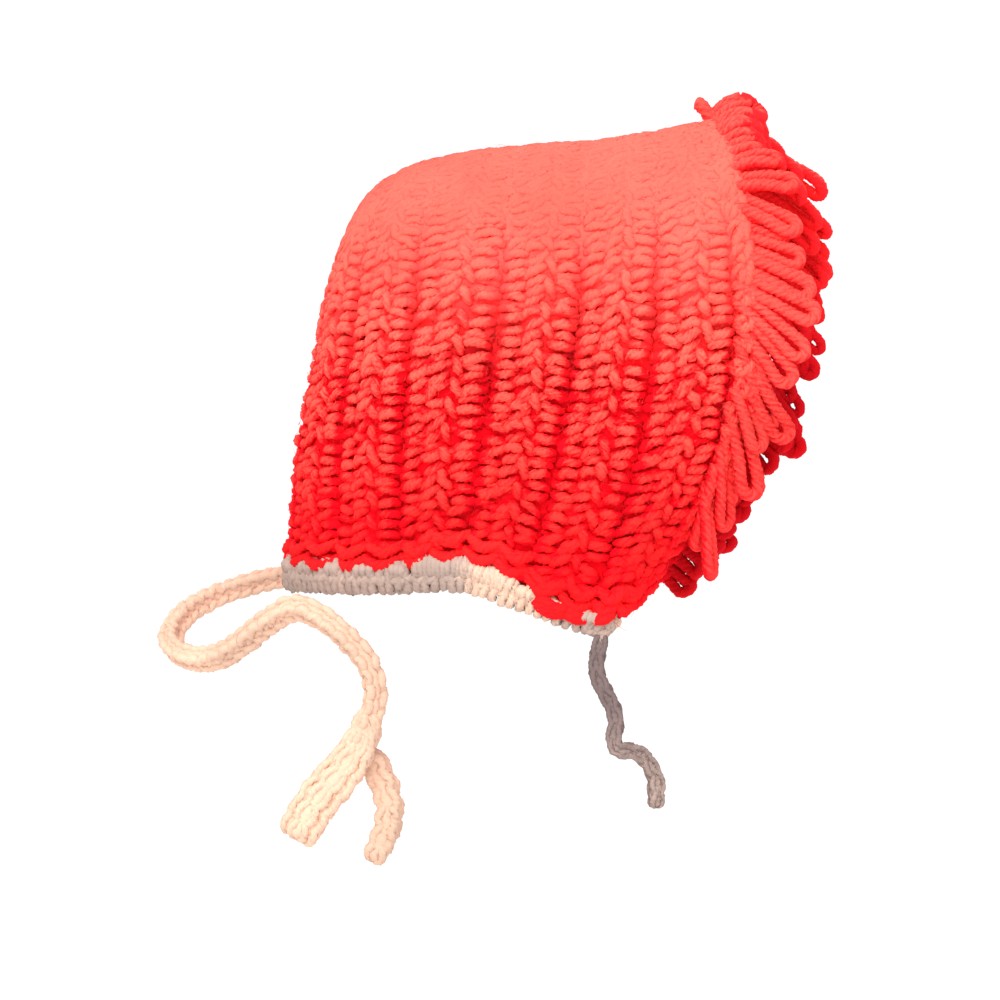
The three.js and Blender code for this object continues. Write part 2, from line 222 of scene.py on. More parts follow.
class StageSettings(bpy.types.PropertyGroup):
    """The camera's place and the floor."""

    azimuth: bpy.props.FloatProperty(
        name="Azimuth", description="Angle of the camera round the bonnet",
        subtype="ANGLE", unit="ROTATION", default=math.radians(11.0),
    )
    elevation: bpy.props.FloatProperty(
        name="Elevation", description="Angle of the camera over the horizon",
        subtype="ANGLE", unit="ROTATION", default=math.radians(3.0),
    )
    distance: bpy.props.FloatProperty(
        name="Distance", description="From the camera to the middle of the view",
        unit="LENGTH", default=0.56, min=0.1,
    )
    lens: bpy.props.FloatProperty(
        name="Lens", description="Focal length in millimetres on a 36 mm wide sensor",
        default=66.528, min=20.0,
    )
    target: bpy.props.FloatVectorProperty(
        name="Target", description="The middle of the view",
        subtype="TRANSLATION", unit="LENGTH", size=3, default=(-0.003, 0.0, -0.098),
    )
    floor: bpy.props.FloatProperty(
        name="Floor", description="Height of the floor", unit="LENGTH", default=-0.34,
    )


# The hood's surface


def smooth_along(knots, values, x):
    """Reads a smooth curve at x. The values stand at the knots, alike for every x or one column for each."""
    knots = np.asarray(knots, float)
    values = np.asarray(values, float)
    x = np.asarray(x, float)
    if values.ndim == 1:
        values = np.broadcast_to(values.reshape((-1,) + (1,) * x.ndim), values.shape + x.shape)
    last = len(knots) - 1
    low = np.clip(np.searchsorted(knots, x) - 1, 0, last - 1)

    def value(index):
        return np.take_along_axis(values, index[None], axis=0)[0]

    def slope(index):
        before = np.maximum(index - 1, 0)
        after = np.minimum(index + 1, last)
        return (value(after) - value(before)) / (knots[after] - knots[before])

    span = knots[low + 1] - knots[low]
    t = (x - knots[low]) / span
    start = value(low) * (2 * t**3 - 3 * t**2 + 1) + slope(low) * span * (t**3 - 2 * t**2 + t)
    return start + value(low + 1) * (3 * t**2 - 2 * t**3) + slope(low + 1) * span * (t**3 - t**2)


def row_table():
    """The rows' columns, with the first rows repeated on the far side so that the surface rounds the back."""
    table = np.array(ROW_LINES)
    far = table[2:0:-1].copy()
    for name in ("row", "half", "neck_half"):
        far[:, ROW_COLUMNS.index(name)] *= -1
    return dict(zip(ROW_COLUMNS, np.vstack([far, table]).T))


ROW_TABLE = row_table()


def hood_points(row, down):
    """Points on the hood's outer face, ribs left out."""
    row, down = np.broadcast_arrays(np.asarray(row, float), np.asarray(down, float))
    line = {name: smooth_along(ROW_TABLE["row"], ROW_TABLE[name], row) for name in ROW_COLUMNS[1:]}
    share = np.abs(down)
    side = np.where(down < 0, 1.0, -1.0)
    places = ("crown_x", "ridge_x", "crown_x", "shoulder_x", "side_x", "neck_x")
    x = smooth_along(DOWN_KNOTS, np.stack([line[name] for name in places]), share)
    angle = (1 - share / ARCH_SHARE) * math.pi / 2
    leg = (share - ARCH_SHARE) / (1 - ARCH_SHARE)
    taper = leg * leg * (3 - 2 * leg)
    arch = share <= ARCH_SHARE
    past = line["half"] + (line["neck_half"] - line["half"]) * taper
    width = np.where(arch, line["half"] * np.cos(angle), past)
    rise = np.where(arch, (line["ridge_z"] - SPRING_Z) * np.sin(angle), (line["neck_z"] - SPRING_Z) * leg)
    return np.stack([x, side * width, SPRING_Z + rise], axis=-1)


def unit(vectors):
    return vectors / np.maximum(np.linalg.norm(vectors, axis=-1, keepdims=True), 1e-12)


def hood_frame(row, down):
    """Unit directions on the hood: forward along the rows' order, down the course, and outward."""
    row, down = np.broadcast_arrays(np.asarray(row, float), np.asarray(down, float))
    forward = hood_points(row + SMALL_STEP, down) - hood_points(row - SMALL_STEP, down)
    along = hood_points(row, down + SMALL_STEP) - hood_points(row, down - SMALL_STEP)
    outward = unit(np.cross(along, forward))
    return unit(forward), unit(along), outward


def groove(row):
    """How far the ribbed face lies under the hood's outer face."""
    return RIB_GROOVE * 0.5 * (1 - np.cos(math.pi * np.asarray(row, float)))


def over_hood(row, down, height):
    """Points at a height over the ribbed face, and the outward direction there."""
    outward = hood_frame(row, down)[2]
    return hood_points(row, down) + outward * (height - groove(row) * relief(down))[..., None], outward


def relief(down):
    """How deep the ribs are worked: the hood is stretched smoother along the ridge."""
    share = np.clip((np.abs(down) - SMOOTH_FROM) / (SMOOTH_TO - SMOOTH_FROM), 0, 1)
    return RIDGE_RELIEF + (1 - RIDGE_RELIEF) * share * share * (3 - 2 * share)


def lengths_along(points, power=1):
    """How far along its line each point lies, with the length of each step raised to a power."""
    steps = np.linalg.norm(np.diff(points, axis=-2), axis=-1) ** power
    return np.concatenate([np.zeros_like(steps[..., :1]), np.cumsum(steps, axis=-1)], axis=-1)


def course(row, overrun=0.06):
    """Places down a row, near neck edge first, how far along each lies, and the row's length."""
    downs = np.linspace(1 + overrun, -1 - overrun, 600)
    lengths = lengths_along(hood_points(np.full_like(downs, row), downs))
    start, end = np.interp([-1.0, 1.0], -downs, lengths)
    return downs, lengths - start, end - start


def neck_edge(row):
    """Points along the neck edge: rows count from the back seam, under 0 on the far side."""
    return hood_points(np.abs(row), np.where(row < 0, -1.0, 1.0))


# Yarn: strands swept in batches


def smooth_steps(count, steps):
    """The matrix that turns count given points into steps points on a smooth line through them."""
    matrix = np.zeros((steps, count))
    for k, t in enumerate(np.linspace(0, count - 1, steps)):
        i = min(int(t), count - 2)
        f = t - i
        weights = (
            -0.5 * f + f**2 - 0.5 * f**3,
            1 - 2.5 * f**2 + 1.5 * f**3,
            0.5 * f + 2 * f**2 - 1.5 * f**3,
            -0.5 * f**2 + 0.5 * f**3,
        )
        for index, weight in zip((i - 1, i, i + 1, i + 2), weights):
            matrix[k, min(max(index, 0), count - 1)] += weight
    return matrix


def drawn(points, steps):
    """The columns of a given strand, read at so many steps along a smooth line through its points."""
    return (smooth_steps(len(points), steps) @ np.array(points)).T


def repeated(table, stray, steps):
    """A strand's four columns at steps along it, the first three of them astray in each repeat."""
    smooth = smooth_steps(len(table), steps).T
    return (*(np.moveaxis(table[:, :3] + stray, -1, 0) @ smooth), table[:, 3] @ smooth)


class Yarn:
    """Collects swept strands and joins them into one mesh with a yarn map and a tone for each strand."""

    TWIST = 0.011

    def __init__(self, seed):
        self.random = np.random.default_rng(seed)
        self.points, self.crests, self.tones = [], [], []
        self.corners, self.sizes, self.maps = [], [], []
        self.count = 0

    def sweep(self, paths, radii, up, sides=8, squash=1.0, depth=PLY_DEPTH, crest=0.75, twist=TWIST,
              rough=0.07, shade=1.0, furrow_shade=FURROW_SHADE):
        """Adds a batch of strands: paths is (strands, steps, 3), radii (strands, steps), up points outward.

        The sides wind along the strand as its plies do, with a furrow of the given depth between two plies.
        crest says how far each point of a strand stands out, from 0 in the deepest fold to 1 on the face.
        """
        strands, steps = paths.shape[:2]
        tangent = unit(np.gradient(paths, axis=1))
        across = unit(np.cross(tangent, up))
        over = np.cross(across, tangent)
        turn = lengths_along(paths) / twist + self.random.uniform(0, 40, (strands, 1))
        start = math.tau * np.arange(sides) / sides
        angle = start + math.tau * turn[:, :, None]
        plies = 4 if sides % 4 == 0 else 3
        furrow = 0.5 + 0.5 * np.cos(plies * start)
        lumps = 1 + rough * self.random.normal(0, 1, angle.shape)
        size = radii[:, :, None] * (1 - depth * furrow) * lumps
        given = (squash, crest, shade)
        squash, crest, shade = (np.broadcast_to(values, (strands, steps))[..., None] for values in given)
        ring = across[:, :, None] * np.cos(angle)[..., None]
        ring = ring + over[:, :, None] * (squash * np.sin(angle))[..., None]
        self.points.append((paths[:, :, None] + ring * size[..., None]).reshape(-1, 3))
        # Painted shade: each strand's inner side and the furrows between its plies take more of the folds'
        # colour.
        crest = np.clip(crest + shade * radii[:, :, None] / DEEPEST * np.sin(angle), 0, 1)
        self.crests.append(np.clip(crest - furrow_shade * furrow * (depth > 0), 0, 1).ravel())
        self.tones.append(np.repeat(self.random.uniform(-1, 1, strands), steps * sides))
        self.add_sides(turn, sides)
        self.add_ends(turn, sides)
        self.count += strands * steps * sides

    def add_sides(self, turn, sides):
        """Adds the faces round a batch of strands, mapped round and along the yarn."""
        strands, steps = turn.shape
        first = self.count + np.arange(strands)[:, None, None] * steps * sides
        low = first + np.arange(steps - 1)[:, None] * sides
        j = np.arange(sides)
        after = (j + 1) % sides
        quads = np.stack([low + j, low + sides + j, low + sides + after, low + after], -1)
        u = np.broadcast_to(np.stack([j, j, j + 1, j + 1], -1) / sides, quads.shape)
        here, there = (np.broadcast_to(v[..., None], quads.shape[:3]) for v in (turn[:, :-1], turn[:, 1:]))
        self.add_faces(quads, u, np.stack([here, there, there, here], -1))

    def add_ends(self, turn, sides):
        """Adds the two end faces of each strand of a batch."""
        strands, steps = turn.shape
        round_end = np.stack([np.arange(sides), np.arange(sides)[::-1]])
        first = self.count + np.arange(strands)[:, None, None] * steps * sides
        ends = first + np.array([[0], [(steps - 1) * sides]]) + round_end
        u = np.broadcast_to(round_end / sides, ends.shape)
        self.add_faces(ends, u, np.broadcast_to(turn[:, [0, -1], None], ends.shape))

    def add_faces(self, corners, u, v):
        """Adds faces whose corners run along the last axis, and their places in the yarn map."""
        self.corners.append(corners.reshape(-1))
        self.sizes.append(np.full(corners.size // corners.shape[-1], corners.shape[-1]))
        self.maps.append(np.stack([u, v], -1).reshape(-1, 2))

    def piece(self, name, material, slot):
        """Makes the piece of all that was swept."""
        joined = (np.concatenate(part) for part in (self.points, self.corners, self.sizes, self.maps))
        tone, crest = np.concatenate(self.tones), np.concatenate(self.crests)
        return place(name, material, slot, *joined, tone=tone, crest=crest)


def place(name, material, slot, points, corners, sizes, maps, **attributes):
    """Makes a mesh from points, the corners and sizes of its faces, and its map, and puts it in the scene."""
    mesh = bpy.data.meshes.new(name)
    mesh.vertices.add(len(points))
    mesh.vertices.foreach_set("co", points.ravel())
    mesh.loops.add(len(corners))
    mesh.loops.foreach_set("vertex_index", corners.astype(np.int32))
    mesh.polygons.add(len(sizes))
    mesh.polygons.foreach_set("loop_start", np.concatenate([[0], np.cumsum(sizes)[:-1]]).astype(np.int32))
    mesh.polygons.foreach_set("use_smooth", np.ones(len(sizes), dtype=bool))
    mesh.uv_layers.new(name="yarn").data.foreach_set("uv", maps.ravel())
    for attribute, values in attributes.items():
        mesh.attributes.new(attribute, "FLOAT", "POINT").data.foreach_set("value", values)
    mesh.update(calc_edges=True)
    mesh.validate()
    mesh.materials.append(material)
    piece = bpy.data.objects.new(name, mesh)
    bpy.context.scene.collection.objects.link(piece)
    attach(piece, BODY)
    return piece


# How far a stitch, each of its strands and each point of a strand stray, in a stitch table's first three
# columns, and how far the strands lean.
STITCH_STRAY = (0.010, 0.03, 0.12)
STRAND_STRAY = (0.010, 0.04, 0.12)
POINT_STRAY = (0.009, 0.04, 0.14)
LEAN = 0.55


def work_stitches(yarn, template, rows, course_row, settings, inside=False, span=(0.0, 1.0)):
    """Works a stitch's strands along a course between two rows, on the outer face or inside."""
    uneven = settings.uneven
    side_count, steps = (6, 7) if inside else (8, 10)
    downs, lengths, total = course(course_row)
    low, high = span[0] * total, span[1] * total
    count = max(1, round((high - low) / settings.stitch))
    pitch = (high - low) / count
    centres = low + (np.arange(count)[:, None] + 0.5) * pitch
    shift = yarn.random.normal(0, 1, (count, 3))[:, None] * uneven * STITCH_STRAY
    for table in map(np.array, template.values()):
        stray = shift + yarn.random.normal(0, 1, (count, len(table), 3)) * uneven * POINT_STRAY
        stray = stray + yarn.random.normal(0, 1, (count, 1, 3)) * uneven * STRAND_STRAY
        lean = yarn.random.normal(0, LEAN, (count, 1)) * uneven
        stray[..., 1] += lean * (table[:, 0] - table[:, 0].mean())
        share, along, height, thick = repeated(table, stray, steps)
        thick = settings.strand * thick * (1 + 0.05 * yarn.random.normal(0, 1, (count, 1)) * uneven)
        row = rows[0] + (rows[1] - rows[0]) * share
        down = np.interp(centres + pitch * along, lengths, downs)
        height = height * MM
        # The deeper a strand lies, the more it takes the folds' painted shade; the lining lies so deep that
        # it takes it almost wholly.
        crest, squash = 1 + height / DEEPEST, 1.0
        if not inside:
            worked = relief(down)
            height = CREST_HEIGHT + RIDGE_LIFT * (1 - worked) + (height - CREST_HEIGHT) * worked
            squash = RIDGE_SQUASH + (1 - RIDGE_SQUASH) * worked
            # Painted shade: strands near a rib's grooves take the folds' colour.
            beside = np.clip((np.abs(2 * share - 1) - GROOVE_FROM) / (1 - GROOVE_FROM), 0, 1)
            crest = 1 + height / DEEPEST - GROOVE_SHADE * beside * worked
        paths, outward = over_hood(row, down, height)
        yarn.sweep(paths, thick, outward, side_count, squash, crest=crest, shade=squash)


# Materials

# How much of the cream yarn's colour is left under the painted shade of the band and the near tie.
PAINTED_SHADE_SHARE = 0.66
# The heights between which a yarn's colour changes, as painted light and shade: where it stands out, in its
# folds, and on the near tie.
RAISED_Z = (-0.122, -0.043)
FOLDED_Z = (-0.066, -0.019)
SHADED_Z = (-0.182, -0.150)
# Fibres round and along the yarn, the nap and the patches to a metre, and how much each sways the colour; the
# crest sways it towards the folds' painted shade.
FIBRES = (13.0, 2.6, 0.0)
NAP = 1100.0
PATCHES = 38.0
CREST_WEIGHT = 2.6
CREST_START = -3.2
NAP_WEIGHT = 1.4
FIBRE_WEIGHT = 1.9
TONE_WEIGHT = 0.12
BRIGHTNESS = (0.86, 1.55)
BUMP = 0.55
CORAL_NAP = 0.0004
CREAM_NAP = 0.0003


def node(tree, kind, place, inputs, **properties):
    """Adds a node, links or sets its inputs, and gives its outputs."""
    made = tree.nodes.new("ShaderNode" + kind)
    made.location = place
    for name, value in properties.items():
        setattr(made, name, value)
    for socket, value in inputs.items():
        if isinstance(value, bpy.types.NodeSocket):
            tree.links.new(value, made.inputs[socket])
        else:
            made.inputs[socket].default_value = value
    return made.outputs


def colour_run(tree, y, height, pair, heights):
    """Nodes for a colour that runs from the first of a pair to the second between two heights."""
    span = {"Value": height, "From Min": heights[0], "From Max": heights[1]}
    rise = node(tree, "MapRange", (-380, y), span, interpolation_type="SMOOTHSTEP")["Result"]
    ends = {"A": (*pair[0], 1), "B": (*pair[1], 1), "Factor": rise}
    return node(tree, "Mix", (-180, y), ends, data_type="RGBA")["Result"]


def yarn_material(name, raised, folded, nap_height, raised_z=RAISED_Z):
    """Plied wool with fine fibres along its plies and a nap over all, made once for each name.

    raised is the pair of colours where the yarn stands out, low and high on the bonnet, and folded the pair
    down in the folds, which is painted shade; where a pair differs, the change with height is painted light
    and shade.
    """
    if name in bpy.data.materials:
        return bpy.data.materials[name]
    material = bpy.data.materials.new(name)
    material.use_nodes = True
    tree = material.node_tree

    plan = node(tree, "UVMap", (-1300, 0), {}, uv_map="yarn")["UV"]
    wound = node(tree, "VectorMath", (-780, -200), {0: plan, 1: FIBRES}, operation="MULTIPLY")["Vector"]
    fibres = node(tree, "TexNoise", (-580, -200), {"Vector": wound, "Scale": 1.0, "Detail": 3.0})["Fac"]
    where = node(tree, "TexCoord", (-1120, -520), {})["Object"]
    nap = node(tree, "TexNoise", (-580, -460), {"Vector": where, "Scale": NAP, "Detail": 2.0})["Fac"]
    patches = node(tree, "TexNoise", (-580, -720), {"Vector": where, "Scale": PATCHES, "Detail": 2.0})["Fac"]
    tone = node(tree, "Attribute", (-580, 320), {}, attribute_name="tone")["Fac"]
    crest = node(tree, "Attribute", (-580, 520), {}, attribute_name="crest")["Fac"]

    mix = CREST_START
    for place, source, weight in (((-380, 420), crest, CREST_WEIGHT), ((-380, 120), nap, NAP_WEIGHT),
                                  ((-200, 120), fibres, FIBRE_WEIGHT), ((-20, 120), tone, TONE_WEIGHT)):
        mix = node(tree, "Math", place, {0: source, 1: weight, 2: mix}, operation="MULTIPLY_ADD")["Value"]
    height = node(tree, "SeparateXYZ", (-780, 760), {0: where})["Z"]
    ends = {
        "A": colour_run(tree, 560, height, folded, FOLDED_Z),
        "B": colour_run(tree, 860, height, raised, raised_z),
        "Factor": mix,
    }
    colours = node(tree, "Mix", (160, 160), ends, data_type="RGBA", clamp_factor=True)["Result"]
    span = {"Value": patches, "To Min": BRIGHTNESS[0], "To Max": BRIGHTNESS[1]}
    brightness = node(tree, "MapRange", (160, -120), span)["Result"]
    hues = node(tree, "HueSaturation", (340, 120), {"Color": colours, "Value": brightness})["Color"]

    bump = {"Height": fibres, "Strength": BUMP, "Distance": nap_height * 1.2}
    bump = {"Normal": node(tree, "Bump", (-20, -260), bump)["Normal"]}
    bump.update({"Height": nap, "Strength": BUMP, "Distance": nap_height})
    normal = node(tree, "Bump", (160, -360), bump)["Normal"]
    surface = tree.nodes["Principled BSDF"].inputs
    surface["Roughness"].default_value = 0.92
    surface["Specular IOR Level"].default_value = 0.12
    tree.links.new(hues, surface["Base Color"])
    tree.links.new(normal, surface["Normal"])
    return material


def shares(colour, *triples):
    """Colours that are shares of a colour's red, green and blue."""
    return [tuple(part * share for part, share in zip(colour, triple)) for triple in triples]


def coral_wool():
    """The hood's yarn: deep red at the neck and pale at the crown, as painted light from above, with painted
    shade in its folds.
    """
    coral = bpy.context.scene.bonnet_yarn.coral
    raised = shares(coral, (0.81, 0.085, 0.14), (1, 1, 1))
    folded = shares(coral, (0.73, 0.01, 0.11), (1, 0.74, 0.86))
    return yarn_material("coral_wool", raised, folded, CORAL_NAP)


def loop_wool():
    """The free loops' yarn: deeper in colour, as the photo has it."""
    # Painted shade: the loops' colours are deeper than the hood's and darkest in their folds low on the
    # bonnet; they run paler higher up as painted light.
    coral = bpy.context.scene.bonnet_yarn.coral
    raised = shares(coral, (0.92, 0.36, 0.46), (0.95, 0.66, 0.72))
    folded = shares(coral, (0.55, 0.02, 0.09), (0.86, 0.12, 0.22))
    return yarn_material("loop_wool", raised, folded, CORAL_NAP)


def painted_shade_cream():
    """The cream yarn's colour greyed by painted shade."""
    red, green, blue = bpy.context.scene.bonnet_yarn.cream
    return (red * PAINTED_SHADE_SHARE**1.25, green * PAINTED_SHADE_SHARE, blue * PAINTED_SHADE_SHARE + 0.09 * (1 - PAINTED_SHADE_SHARE))


def cream_wool():
    """The far tie's yarn, in the full cream, with only a little painted shade in its folds."""
    full_cream, folded = shares(bpy.context.scene.bonnet_yarn.cream, (1, 1, 1), (0.97, 0.92, 0.92))
    return yarn_material("cream_wool", (full_cream, full_cream), (folded, folded), CREAM_NAP)


def band_wool():
    """The band's yarn: greyed in its folds by painted shade, in the full cream where the strands stand out.
    """
    full_cream, shaded_cream = tuple(bpy.context.scene.bonnet_yarn.cream), painted_shade_cream()
    return yarn_material("band_wool", (full_cream, full_cream), (shaded_cream, shaded_cream), CREAM_NAP)


def shaded_wool():
    """The near tie's yarn: paler at its low end, dark where it leaves the band."""
    cream = bpy.context.scene.bonnet_yarn.cream
    dark, folded = shares(cream, (0.26, 0.29, 0.38), (0.24, 0.25, 0.33))
    return yarn_material("shaded_wool", (painted_shade_cream(), dark), (folded, folded), CREAM_NAP, SHADED_Z)


def stage_paint(name, colour):
    material = bpy.data.materials.new(name)
    material.use_nodes = True
    surface = material.node_tree.nodes["Principled BSDF"]
    surface.inputs["Base Color"].default_value = (*colour, 1)
    surface.inputs["Roughness"].default_value = 0.9
    surface.inputs["Specular IOR Level"].default_value = 0.1
    return material


# Ties


def smooth_route(points, spacing):
    """Evenly spaced points on a smooth line through a route, and its length."""
    knots = lengths_along(points, 0.5)
    dense = np.linspace(0, knots[-1], 60 * len(points))
    line = np.stack([smooth_along(knots, column, dense) for column in np.array(points).T], axis=1)
    lengths = lengths_along(line)
    even = np.linspace(0, lengths[-1], max(2, round(lengths[-1] / spacing)) + 1)
    return read_along(even, lengths, line), lengths[-1]


def read_along(places, lengths, values):
    """Reads vectors that are given at lengths along a line at other places on it."""
    return np.stack([np.interp(places, lengths, column) for column in values.T], axis=-1)


def carried_frame(line, face):
    """Directions along a line: the face side, carried along without turning, and across."""
    tangent = unit(np.gradient(line, axis=0))
    faces = np.zeros_like(line)
    current = np.asarray(face, float)
    for k, direction in enumerate(tangent):
        current = unit(current - direction * np.dot(current, direction))
        faces[k] = current
    return faces, np.cross(tangent, faces)


# One link's leg: the place along in links, then the place across, the height and the thickness as shares of
# half the width. The first three stray; the legs stand on a side and a hand, offset along.
TIE_LEG = ((-0.30, 0.04, 0.30, 0.75), (0.10, 0.44, 0.70, 1.0), (0.60, 0.66, 0.52, 1.05),
           (1.05, 0.40, 0.62, 0.95), (1.40, 0.04, 0.26, 0.75))
LEG_STRAY = (0.05, 0.04, 0.04)
LEG_PLACES = ((1, 1, 0.0), (1, -1, 0.06), (-1, 1, 0.5), (-1, -1, 0.56))
LEG_RADIUS = 0.37
TIE_SPACING = 0.0004


def work_tie(yarn, route, width, face, link_length=0.62, flatness=TIE_FLATNESS, close_end=True,
             twist=0.0, core_share=0.84):
    """Works a tie as a chain of links round a core; a link's length and the core are shares of the width."""
    line, length = smooth_route(route, TIE_SPACING)
    faces, across = carried_frame(line, face)
    angle = np.linspace(0, twist, len(line))[:, None]
    turned = faces * np.cos(angle) + across * np.sin(angle)
    faces, across = turned, across * np.cos(angle) - faces * np.sin(angle)
    steps = np.linspace(0, length, len(line))
    half = width / 2
    end = np.clip((length - steps) / (0.9 * half), 0, 1) if close_end else 1.0
    full = np.sqrt(1 - (1 - end) ** 2) * np.clip(0.75 + steps / width, 0, 1)
    core = np.clip(full, 0.12, 1) * half * core_share
    yarn.sweep(line[None, ::4], core[None, ::4], faces[None, ::4], 12, flatness, depth=0.05, rough=0.03)
    count = max(3, round(length / (width * link_length)))
    pitch = length / count
    leg = np.array(TIE_LEG)
    smooth = smooth_steps(len(leg), 10).T
    for side, hand, offset in LEG_PLACES:
        stray = yarn.random.normal(0, 1, (count, len(leg), 3)) * LEG_STRAY
        along, sideways, height = np.moveaxis(leg[:, :3] + stray, -1, 0)
        along = (np.arange(count)[:, None] + offset + along) * pitch
        along = np.clip(along, 0, length - 0.1 * half) @ smooth
        sideways, height = hand * sideways @ smooth, side * flatness * height @ smooth
        size = np.interp(along, steps, full) * half
        uneven = 1 + 0.05 * yarn.random.normal(0, 1, (count, 1))
        middle, over, right = (read_along(along, steps, values) for values in (line, faces, across))
        paths = middle + right * (sideways * size)[..., None] + over * (height * size)[..., None]
        outward = right * sideways[..., None] + over * (height + 0.4 * side)[..., None]
        thick = LEG_RADIUS * size * (leg[:, 3] @ smooth) * uneven
        yarn.sweep(paths, thick, unit(outward), 8, depth=0.08, rough=0.04)
    return line, length


class BONNET_OT_near_tie(bpy.types.Operator):
    """Works the thin tie that hangs from the near end of the band"""

    bl_idname = "bonnet.near_tie"
    bl_label = "Near Tie"

    def execute(self, context):
        yarn = Yarn(11)
        line, length = work_tie(yarn, NEAR_TIE_ROUTE, NEAR_TIE_WIDTH, (0, -1, 0.1), 1.1, core_share=0.94)
        tie = yarn.piece("near_tie_chain", shaded_wool(), "cream_tie_yarn")
        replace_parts(tie, "near_tie")
        return {"FINISHED"}


class BONNET_OT_far_tie(bpy.types.Operator):
    """Works the wide tie that comes round the back and forks into two tips"""

    bl_idname = "bonnet.far_tie"
    bl_label = "Far Tie"

    # The tips' strands: the width as a share of the tip's, the link length, the flatness and the core.
    WIDE_LINKS = (0.68, 0.85, 0.95, 0.92)
    NARROW_LINKS = (1.05, 0.75, 0.95, 0.90)
    # The wide tip's strands: how far aside and towards the far side, times the opening along the tip.
    BESIDE = ((-0.0027, 0.0), (0.0027, 0.0), (0.0, -0.0008))
    OPENING = (0.15, 0.40, 0.75, 1.0, 1.0, 1.0, 0.85)

    def execute(self, context):
        yarn = Yarn(12)
        line, length = work_tie(yarn, FAR_TIE_ROUTE, FAR_TIE_WIDTH, (0, 1, 0), close_end=False, twist=1.2)
        tie = yarn.piece("far_tie_chain", cream_wool(), "cream_tie_yarn")
        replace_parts(tie, "far_tie")
        wide = Yarn(13)
        route = np.array(FAR_TIE_ROUTE[-3:] + WIDE_TIP_ROUTE[1:])
        sideways = unit(np.cross(unit(route[-1] - route[0]), (0, 1, 0)))
        for shift, farther in self.BESIDE:
            beside = route + (sideways * shift + (0, farther, 0)) * np.array(self.OPENING)[:, None]
            self.tip(wide, beside, WIDE_TIP_WIDTH, *self.WIDE_LINKS)
        wide_tip = wide.piece("wide_tip_chain", cream_wool(), "cream_tie_yarn")
        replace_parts(wide_tip, "tie_end_wide")
        narrow = Yarn(14)
        self.tip(narrow, NARROW_TIP_ROUTE, NARROW_TIP_WIDTH, *self.NARROW_LINKS)
        narrow_tip = narrow.piece("narrow_tip_chain", cream_wool(), "cream_tie_yarn")
        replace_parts(narrow_tip, "tie_end_narrow")
        return {"FINISHED"}

    def tip(self, yarn, route, width, width_share, link_length, flatness, core_share):
        """Works one strand of a forked tip, its face towards the near side."""
        work_tie(yarn, route, width * width_share, (0, -1, 0), link_length, flatness, core_share=core_share)


# Hood


class BONNET_OT_hood_cloth(bpy.types.Operator):
    """Makes the worked cloth that the stitches stand on"""

    bl_idname = "bonnet.hood_cloth"
    bl_label = "Hood Cloth"

    OUTER_HEIGHT = -0.0024
    FURROW_DROP = 0.0007
    RIDGE_RISE = 0.00225
    INNER_HEIGHT = -0.0049
    # The inner layer's crest, so low that it takes the folds' painted shade.
    INNER_CREST = 0.2
    ROW_STEPS = 6
    SIDE_STEPS = 70
    FLAT_WIDTH = 0.148
    FLAT_LENGTH = 0.300

    def execute(self, context):
        rows = np.linspace(0, LAST_ROW, LAST_ROW * self.ROW_STEPS + 1)
        downs = np.linspace(-1, 1, 2 * self.SIDE_STEPS + 1)
        row, down = np.meshgrid(rows, downs, indexing="ij")
        height = self.OUTER_HEIGHT + self.RIDGE_RISE * (1 - relief(down)) / (1 - RIDGE_RELIEF)
        height = height - self.FURROW_DROP * groove(row) / RIB_GROOVE * relief(down)
        on_one_side = np.where(row == 0, np.abs(down), down)
        outer = over_hood(row, on_one_side, height)[0]
        inner = over_hood(row, on_one_side, np.full(row.shape, self.INNER_HEIGHT))[0]
        outer[0, :, 1] = 0
        inner[0, :, 1] = 0
        points = np.concatenate([outer.reshape(-1, 3), inner.reshape(-1, 3)])
        # The cloth takes more of the folds' painted shade the deeper it lies.
        crest = np.concatenate([1 + height.ravel() / DEEPEST, np.full(row.size, self.INNER_CREST)])
        plan = np.tile(np.stack([down.ravel() * 20, row.ravel() * 2], axis=1), (2, 1))
        faces = self.faces(row.shape)
        used, corners = np.unique(faces.ravel(), return_inverse=True)
        sizes = np.full(len(faces), 4)
        cloth = place("hood_cloth", coral_wool(), "coral_yarn", points[used], corners, sizes,
                      plan[used][corners], crest=crest[used])
        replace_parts(cloth, "crown")
        return {"FINISHED"}

    def faces(self, shape):
        """The faces of both layers and of the rim between them; the seam's two sides share their points."""
        layer = shape[0] * shape[1]
        index = np.arange(layer).reshape(shape)
        index[0] = np.maximum(index[0], index[0, ::-1])
        corners = np.stack([index[:-1, :-1], index[:-1, 1:], index[1:, 1:], index[1:, :-1]], -1)
        corners = corners.reshape(-1, 4)
        outer, inner = np.roll(corners, 1, axis=1), np.roll(corners[:, ::-1], 1, axis=1) + layer
        both = np.stack([outer, inner], 1).reshape(-1, 4)
        rim = np.concatenate([index[:, -1], index[-1, -2::-1], index[-2:0:-1, 0]])
        after = np.roll(rim, -1)
        return np.vstack([both, np.stack([rim, rim + layer, after + layer, after], 1)])


